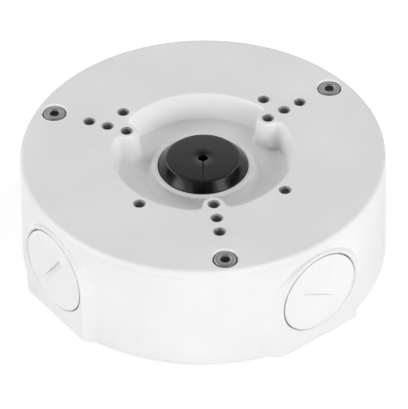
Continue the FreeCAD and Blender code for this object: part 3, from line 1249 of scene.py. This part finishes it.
@dataclass(frozen=True)
class Studio:
    """Pale floor, soft lamps, cards and the photograph's camera."""

    world_strength: float = 0.12
    lamps: tuple[SoftBox, ...] = (
        SoftBox("left_wall_lamp", -100.0, 14.0, 1.5, 0.7, 10.7, mirrored=False),
        SoftBox("front_wall_lamp", -37.0, 14.0, 1.5, 0.7, 2.4, mirrored=False),
        SoftBox("right_wall_lamp", -7.0, 14.0, 1.5, 0.7, 9.9, mirrored=False),
        SoftBox("right_top_lamp", 30.0, 30.0, 1.5, 1.2, 7.4),
        SoftBox("left_top_lamp", -157.0, 42.0, 1.5, 0.9, 7.8),
        SoftBox("back_top_lamp", 83.0, 42.0, 1.5, 0.9, 5.15),
    )
    cards: tuple[MirrorCard, ...] = (
        MirrorCard("camera_card", -37.0, 36.7, 1.1, 0.9, 0.6),
        MirrorCard("right_card", 55.0, 24.0, 1.1, 1.1, 0.7),
        MirrorCard("left_card", -138.0, 24.0, 1.1, 0.6, 0.7),
        MirrorCard("white_card", -103.0, 27.0, 1.0, 0.4, 0.35, 3.0, "white_silk"),
    )
    # The white sweep behind the box ends at one elevation, and the dark ceiling starts at another
    sweep_top: float = 34.0
    ceiling_edge: float = 54.0
    ceiling_strength: float = 0.2
    floor_size: float = 8.0
    floor_cells: int = 8
    floor_drop: float = 0.4
    # Distances from the box's axis in millimetres: inside the first the floor's glow is off, which paints
    # shade under the box, and between the near and far edges the glow rises, which paints shade round the
    # box's foot
    painted_shade_foot: float = 56.0
    painted_shade_fade: float = 2.0
    near_edge: float = 62.0
    painted_shade_glow: float = 0.54
    far_edge: float = 100.0
    far_glow: float = 0.68
    target: tuple[float, float, float] = (22.25, -16.59, 39.0)
    direction: float = -36.98
    elevation: float = 40.71
    distance: float = 932.9
    roll: float = 0.805
    lens: float = 251.84
    sensor: float = 36.0
    clip_near: float = 0.01
    clip_far: float = 50.0

    def lay_floor(self) -> None:
        """Lays a pale sheet that takes the box's soft shadow."""
        # To the eye it glows white, with painted shade: the glow is weaker close to the box and off under it
        clear_selection()
        cells = self.floor_cells
        place = (0, 0, -self.floor_drop * MM)
        bpy.ops.mesh.primitive_grid_add(
            x_subdivisions=cells, y_subdivisions=cells, size=self.floor_size, location=place
        )
        floor = bpy.context.object
        floor.name = "studio_floor"
        made = bare_material("pale_paper_floor")
        tree = made.node_tree
        paper = add_node(tree, "ShaderNodeBsdfDiffuse", {"Color": linear("#CCCCCC")})
        spot = add_node(tree, "ShaderNodeTexCoord").outputs["Object"]
        off = add_node(tree, "ShaderNodeVectorMath", {"operation": "LENGTH"}, {0: spot}).outputs["Value"]
        # The glow rises from near the box outwards: painted shade round the box's foot
        spread = {
            "From Min": self.near_edge * MM,
            "From Max": self.far_edge * MM,
            "To Min": self.painted_shade_glow,
            "To Max": self.far_glow,
        }
        strength = add_node(tree, "ShaderNodeMapRange", spread, {"Value": off}).outputs["Result"]
        glow = add_node(tree, "ShaderNodeEmission", links={"Strength": strength})
        shaders = {0: paper.outputs["BSDF"], 1: glow.outputs["Emission"]}
        lit = add_node(tree, "ShaderNodeAddShader", links=shaders)
        # No glow under the box: painted shade under it
        foot = {"From Min": self.painted_shade_foot * MM, "From Max": (self.painted_shade_foot + self.painted_shade_fade) * MM}
        seen = add_node(tree, "ShaderNodeMapRange", foot, {"Value": off, "To Max": self.seen_directly(tree)})
        shaders = {0: seen.outputs["Result"], 1: paper.outputs["BSDF"], 2: lit.outputs["Shader"]}
        mixed = add_node(tree, "ShaderNodeMixShader", links=shaders)
        add_node(tree, "ShaderNodeOutputMaterial", links={"Surface": mixed.outputs["Shader"]})
        floor.data.materials.append(made)

    def seen_directly(self, tree: bpy.types.NodeTree) -> bpy.types.NodeSocket:
        """Tells rays that see a thing from rays that only light the box with it.

        Args:
            tree: The tree that asks.

        Returns:
            One for rays from the camera, a mirror or glass, and nothing for all others.
        """
        rays = add_node(tree, "ShaderNodeLightPath")
        larger = {"operation": "MAXIMUM"}
        kinds = {0: rays.outputs["Is Camera Ray"], 1: rays.outputs["Is Glossy Ray"]}
        glossy = add_node(tree, "ShaderNodeMath", larger, kinds)
        kinds = {0: glossy.outputs["Value"], 1: rays.outputs["Is Transmission Ray"]}
        return add_node(tree, "ShaderNodeMath", larger, kinds).outputs["Value"]

    def light_world(self) -> None:
        """Lights the box evenly from all round, and shows the eye a white sweep under a dark ceiling."""
        world = bpy.data.worlds.new("studio_air")
        world.use_nodes = True
        tree = world.node_tree
        tree.nodes.clear()
        direction = add_node(tree, "ShaderNodeTexCoord").outputs["Generated"]
        upwards = add_node(tree, "ShaderNodeSeparateXYZ", links={"Vector": direction}).outputs["Z"]
        sweep = {
            "From Min": math.sin(math.radians(self.sweep_top)),
            "From Max": math.sin(math.radians(self.ceiling_edge)),
            "To Min": 1.0,
            "To Max": self.ceiling_strength,
        }
        backdrop = add_node(tree, "ShaderNodeMapRange", sweep, {"Value": upwards})
        links = {"Value": self.seen_directly(tree), "To Max": backdrop.outputs["Result"]}
        strength = add_node(tree, "ShaderNodeMapRange", {"To Min": self.world_strength}, links)
        white = {"Color": linear("#FFFFFF")}
        air = add_node(tree, "ShaderNodeBackground", white, {"Strength": strength.outputs["Result"]})
        add_node(tree, "ShaderNodeOutputWorld", links={"Surface": air.outputs["Background"]})
        bpy.context.scene.world = world

    def place_camera(self) -> None:
        """Puts the camera where the photograph was taken from."""
        back = outlook(self.direction, self.elevation, 1.0).normalized()
        right = Vector((0, 0, 1)).cross(back).normalized()
        up = (Matrix.Rotation(math.radians(-self.roll), 4, back) @ back.cross(right)).normalized()
        right = up.cross(back)
        turn = Matrix((right, up, back)).transposed().to_euler()
        place = Vector(self.target) * MM + back * self.distance * MM
        clear_selection()
        bpy.ops.object.camera_add(location=place, rotation=turn)
        camera = bpy.context.object
        camera.name = "photo_camera"
        camera.data.sensor_width = self.sensor
        camera.data.lens = self.lens
        camera.data.clip_start = self.clip_near
        camera.data.clip_end = self.clip_far
        bpy.context.scene.camera = camera

    def build(self) -> None:
        """Sets the whole studio."""
        self.lay_floor()
        for card in self.cards:
            card.hang()
        self.light_world()
        for lamp in self.lamps:
            lamp.hang()
        self.place_camera()
        bpy.context.scene.view_settings.view_transform = "Standard"
        LOG.info("the studio has %d lamps and %d cards", len(self.lamps), len(self.cards))


def main() -> None:
    """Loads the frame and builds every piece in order."""
    logging.basicConfig(level=logging.INFO, format="%(message)s")
    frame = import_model()
    finishes = Finishes()
    Castings().build(frame, finishes)
    HiddenSeals().build(frame, finishes)
    CoverScrews().build(finishes)
    CameraHoles().build(finishes)
    LeadGrommet().build(finishes)
    SidePlugs().build(finishes)
    Studio().build()
    clear_selection()


if __name__ == "__main__":
    main()
